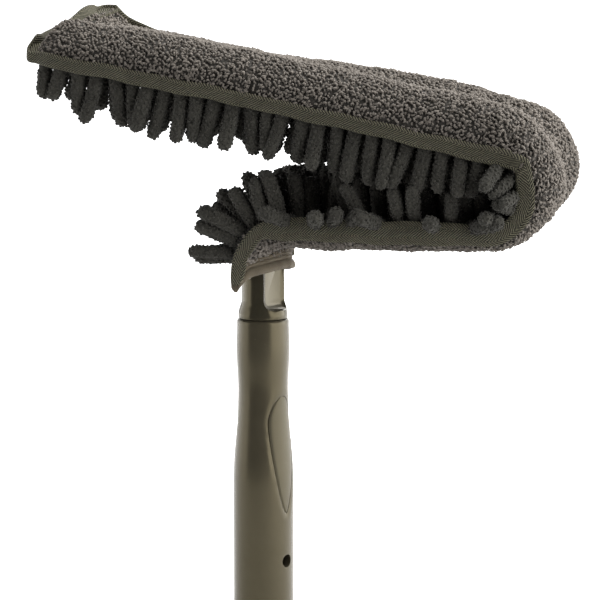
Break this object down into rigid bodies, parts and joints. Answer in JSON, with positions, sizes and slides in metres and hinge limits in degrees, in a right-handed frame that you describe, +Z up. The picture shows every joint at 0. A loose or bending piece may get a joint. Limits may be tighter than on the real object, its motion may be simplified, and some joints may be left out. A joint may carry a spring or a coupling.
{
  "type": "ceiling fan duster",
  "caption": "Bendable duster head for ceiling fan blades: terry outside, chenille fingers inside the fold, on a grip with a pole socket.",
  "frame": {"origin": "centre of the pole socket's mouth, in the plane of the grip's bottom rim", "axes": "+Z up the handle towards the head, +X the way the head bends away from the handle, +Y across the head's width"},
  "size_m": [0.3002, 0.1054, 0.363],
  "materials": {
    "satin_plastic": "satin",
    "gloss_plastic": "gloss",
    "inlay_plastic": "satin",
    "spine_plastic": "matte",
    "steel": "satin",
    "foam": "matte",
    "terry": "matte",
    "chenille": "matte",
    "edge_tape": "matte",
    "hem_cloth": "matte"
  },
  "bodies": {
    "root": {"grip_shell": "satin_plastic", "grip_inlay_right": "inlay_plastic", "grip_inlay_left": "inlay_plastic", "neck": "gloss_plastic", "neck_screw": "steel", "neck_washer": "steel", "spine_pin": "steel", "spine_root": "spine_plastic", "sleeve_hem": "hem_cloth"},
    "neck_link": {"spine_neck_link_1": "spine_plastic", "terry_neck": "terry", "fingers_neck": "chenille", "binding_neck_near": "edge_tape", "binding_neck_far": "edge_tape", "wire_neck_near": "steel", "wire_neck_far": "steel"},
    "lower_arm": {"spine_lower": "spine_plastic", "foam_lower": "foam", "terry_lower": "terry", "fingers_lower": "chenille", "binding_lower_near": "edge_tape", "binding_lower_far": "edge_tape", "wire_lower_near": "steel", "wire_lower_far": "steel"},
    "bend_link_1": {"spine_bend_link_1": "spine_plastic"},
    "bend_link_2": {"spine_bend_link_2": "spine_plastic", "foam_bend": "foam", "terry_bend": "terry", "fingers_bend": "chenille", "binding_bend_near": "edge_tape", "binding_bend_far": "edge_tape", "wire_bend_near": "steel", "wire_bend_far": "steel"},
    "bend_link_3": {"spine_bend_link_3": "spine_plastic"},
    "upper_arm": {"spine_upper": "spine_plastic", "spine_tip_cap": "spine_plastic", "foam_upper": "foam", "terry_upper": "terry", "fingers_upper": "chenille", "binding_upper_near": "edge_tape", "binding_upper_far": "edge_tape", "binding_end": "edge_tape", "wire_upper_near": "steel", "wire_upper_far": "steel"}
  },
  "joints": [
    {"name": "neck_bend_1", "type": "hinge", "parent": "root", "child": "neck_link", "pos_m": [0.003, 0, 0.23214], "axis": [0, -1, 0], "range_deg": [0, 43.5], "deforming": ["terry_neck", "fingers_neck", "binding_neck_near", "binding_neck_far", "wire_neck_near", "wire_neck_far"]},
    {"name": "neck_bend_2", "type": "hinge", "parent": "neck_link", "child": "lower_arm", "pos_m": [0.01146, 0, 0.24106], "axis": [0, -1, 0], "range_deg": [0, 43.5]},
    {"name": "u_bend_1", "type": "hinge", "parent": "lower_arm", "child": "bend_link_1", "pos_m": [0.15453, 0.00047, 0.24859], "axis": [-0.0082, 0.9877, 0.1562], "range_deg": [0, 40.88], "deforming": ["foam_bend", "terry_bend", "fingers_bend", "binding_bend_near", "binding_bend_far", "wire_bend_near", "wire_bend_far"]},
    {"name": "u_bend_2", "type": "hinge", "parent": "bend_link_1", "child": "bend_link_2", "pos_m": [0.1677, -0.0014, 0.2611], "axis": [-0.0082, 0.9877, 0.1562], "range_deg": [0, 40.88]},
    {"name": "u_bend_3", "type": "hinge", "parent": "bend_link_2", "child": "bend_link_3", "pos_m": [0.16939, -0.00423, 0.27906], "axis": [-0.0082, 0.9877, 0.1562], "range_deg": [0, 40.88]},
    {"name": "u_bend_4", "type": "hinge", "parent": "bend_link_3", "child": "upper_arm", "pos_m": [0.15876, -0.00663, 0.29372], "axis": [-0.0082, 0.9877, 0.1562], "range_deg": [0, 40.88]}
  ],
  "couplings": [
    {"joint": "neck_bend_2", "follows": "neck_bend_1", "ratio": 1},
    {"joint": "u_bend_2", "follows": "u_bend_1", "ratio": 1},
    {"joint": "u_bend_3", "follows": "u_bend_1", "ratio": 1},
    {"joint": "u_bend_4", "follows": "u_bend_1", "ratio": 1}
  ]
}
